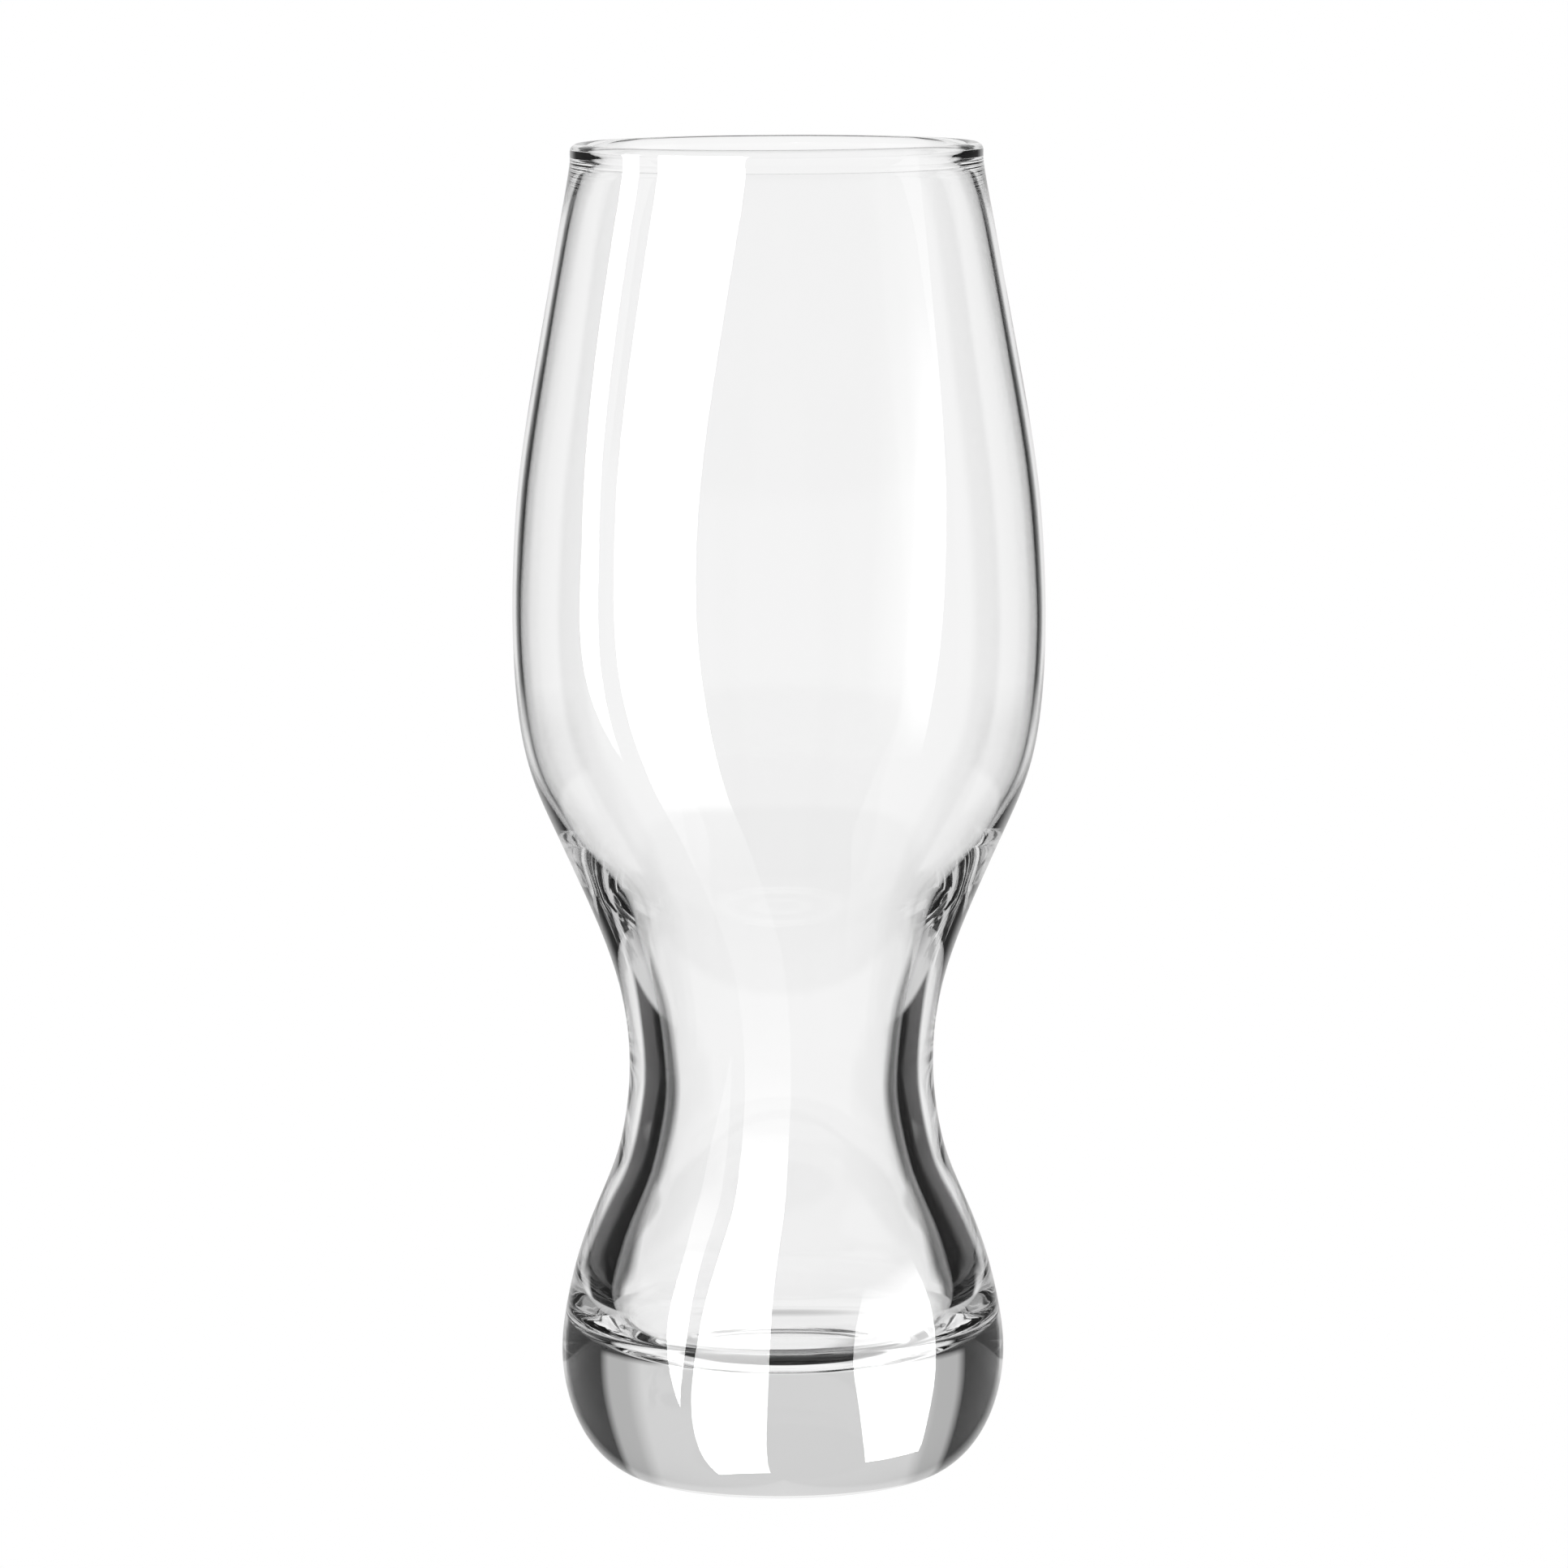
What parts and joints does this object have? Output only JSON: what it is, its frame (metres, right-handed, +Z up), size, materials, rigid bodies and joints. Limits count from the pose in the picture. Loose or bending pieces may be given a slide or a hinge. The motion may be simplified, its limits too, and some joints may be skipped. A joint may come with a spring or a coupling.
{
  "type": "pint glass",
  "caption": "Tall one-piece clear drinking glass with a barrel-shaped bowl, a narrow waist and a thick rounded foot, for serving a pint of beer.",
  "frame": {"origin": "centre of the bearing ring the glass stands on, on the standing plane", "axes": "+Z up along the axis of revolution; X and Y are horizontal and interchangeable"},
  "size_m": [0.0778, 0.0778, 0.196],
  "materials": {
    "clear_glass": "polished, clear and colourless, fire-polished rim"
  },
  "bodies": {
    "root": {"glass": "clear_glass"}
  },
  "joints": []
}
